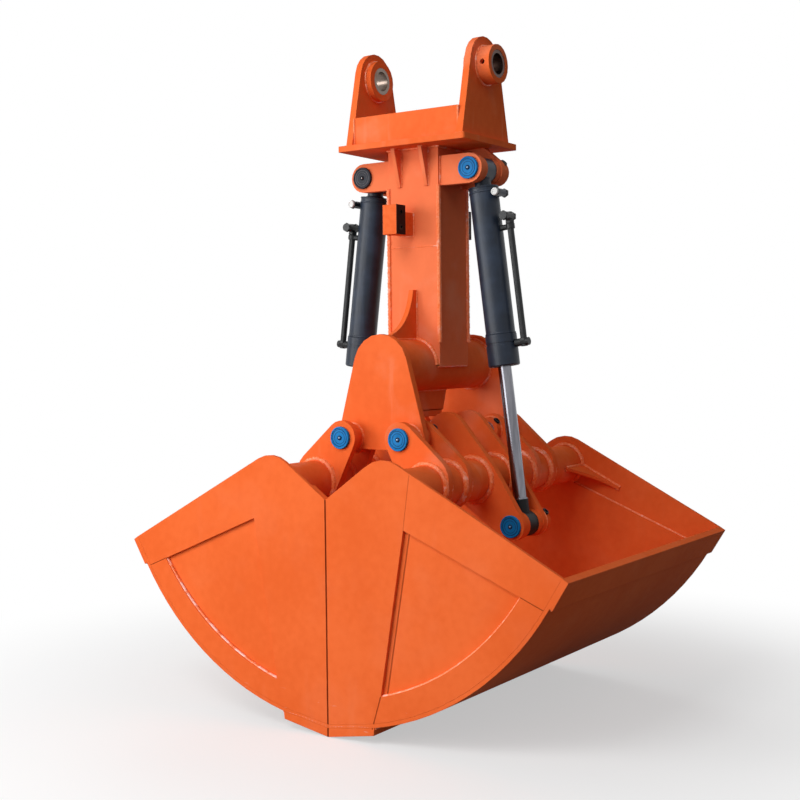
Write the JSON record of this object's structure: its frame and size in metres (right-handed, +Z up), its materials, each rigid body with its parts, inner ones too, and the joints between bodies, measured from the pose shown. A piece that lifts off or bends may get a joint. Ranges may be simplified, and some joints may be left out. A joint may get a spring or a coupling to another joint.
{
  "type": "hydraulic clamshell bucket",
  "caption": "Hydraulic clamshell bucket for an excavator: hinged shells under a hanger column, each driven by a slanted cylinder",
  "frame": {"origin": "middle of the axis of the hanger pin, between the two ears", "axes": "+X across the opening of the jaws towards the ear with the long collar, +Y along the hinge pins away from the side with the capped pin heads, +Z up along the column"},
  "size_m": [1.6804, 1.2232, 2.2609],
  "materials": {
    "orange_paint": "glossy orange paint over welded plate, worn at the edges",
    "black_enamel": "satin black enamel",
    "chrome_rod": "polished chrome rod with a black eye",
    "bare_steel": "machined bare steel",
    "blue_plastic": "moulded blue dust cap",
    "black_cap": "moulded dark grey dust cap"
  },
  "bodies": {
    "hanger_frame": {"column": "orange_paint", "drum": "orange_paint", "front_hose_block": "orange_paint", "front_pear_plate": "orange_paint", "front_upstand": "orange_paint", "hanger_base_plate": "orange_paint", "left_ear": "orange_paint", "left_ear_bush": "bare_steel", "left_front_upper_bracket": "orange_paint", "left_rear_upper_bracket": "orange_paint", "left_upper_cap": "black_cap", "left_upper_pin": "bare_steel", "rear_hose_block": "orange_paint", "rear_pear_plate": "orange_paint", "rear_upstand": "orange_paint", "right_ear": "orange_paint", "right_ear_bush": "bare_steel", "right_front_upper_bracket": "orange_paint", "right_rear_upper_bracket": "orange_paint", "right_upper_cap": "blue_plastic", "right_upper_pin": "bare_steel"},
    "left_shell": {"left_cross_tube": "orange_paint", "left_cutting_lip": "orange_paint", "left_front_cheek": "orange_paint", "left_front_hinge_cap": "blue_plastic", "left_front_hinge_pin": "bare_steel", "left_front_hinge_plate": "orange_paint", "left_front_rod_bracket": "orange_paint", "left_rear_cheek": "orange_paint", "left_rear_hinge_cap": "blue_plastic", "left_rear_hinge_pin": "bare_steel", "left_rear_hinge_plate": "orange_paint", "left_rear_rod_bracket": "orange_paint", "left_rod_cap": "blue_plastic", "left_rod_pin": "bare_steel", "left_shell_sheet": "orange_paint"},
    "right_shell": {"right_cross_tube": "orange_paint", "right_cutting_lip": "orange_paint", "right_front_cheek": "orange_paint", "right_front_hinge_cap": "blue_plastic", "right_front_hinge_pin": "bare_steel", "right_front_hinge_plate": "orange_paint", "right_front_rod_bracket": "orange_paint", "right_rear_cheek": "orange_paint", "right_rear_hinge_cap": "blue_plastic", "right_rear_hinge_pin": "bare_steel", "right_rear_hinge_plate": "orange_paint", "right_rear_rod_bracket": "orange_paint", "right_rod_cap": "blue_plastic", "right_rod_pin": "bare_steel", "right_shell_sheet": "orange_paint"},
    "left_barrel": {"left_barrel": "black_enamel", "left_gland": "black_enamel", "left_return_pipe": "black_enamel"},
    "right_barrel": {"right_barrel": "black_enamel", "right_gland": "black_enamel", "right_return_pipe": "black_enamel"},
    "left_rod": {"left_rod": "chrome_rod"},
    "right_rod": {"right_rod": "chrome_rod"}
  },
  "joints": [
    {"name": "left_shell_hinge", "type": "hinge", "parent": "hanger_frame", "child": "left_shell", "pos_m": [-0.116, 0, -1.2423], "axis": [0, 1, 0], "range_deg": [0, 55]},
    {"name": "left_barrel_swing", "type": "hinge", "parent": "hanger_frame", "child": "left_barrel", "pos_m": [-0.216, 0, -0.3485], "axis": [0, 1, 0], "range_deg": [0, 12.2]},
    {"name": "left_rod_swing", "type": "hinge", "parent": "left_shell", "child": "left_rod", "pos_m": [-0.366, 0, -1.54], "axis": [0, 1, 0], "range_deg": [-43, 0]},
    {"name": "right_shell_hinge", "type": "hinge", "parent": "hanger_frame", "child": "right_shell", "pos_m": [0.116, 0, -1.2423], "axis": [0, -1, 0], "range_deg": [0, 55]},
    {"name": "right_barrel_swing", "type": "hinge", "parent": "hanger_frame", "child": "right_barrel", "pos_m": [0.216, 0, -0.3485], "axis": [0, -1, 0], "range_deg": [0, 12.2]},
    {"name": "right_rod_swing", "type": "hinge", "parent": "right_shell", "child": "right_rod", "pos_m": [0.366, 0, -1.54], "axis": [0, -1, 0], "range_deg": [-43, 0]}
  ],
  "couplings": [
    {"joint": "left_barrel_swing", "follows": "left_shell_hinge", "ratio": 0.2211},
    {"joint": "left_rod_swing", "follows": "left_shell_hinge", "ratio": -0.7789},
    {"joint": "right_barrel_swing", "follows": "right_shell_hinge", "ratio": 0.2211},
    {"joint": "right_rod_swing", "follows": "right_shell_hinge", "ratio": -0.7789}
  ]
}
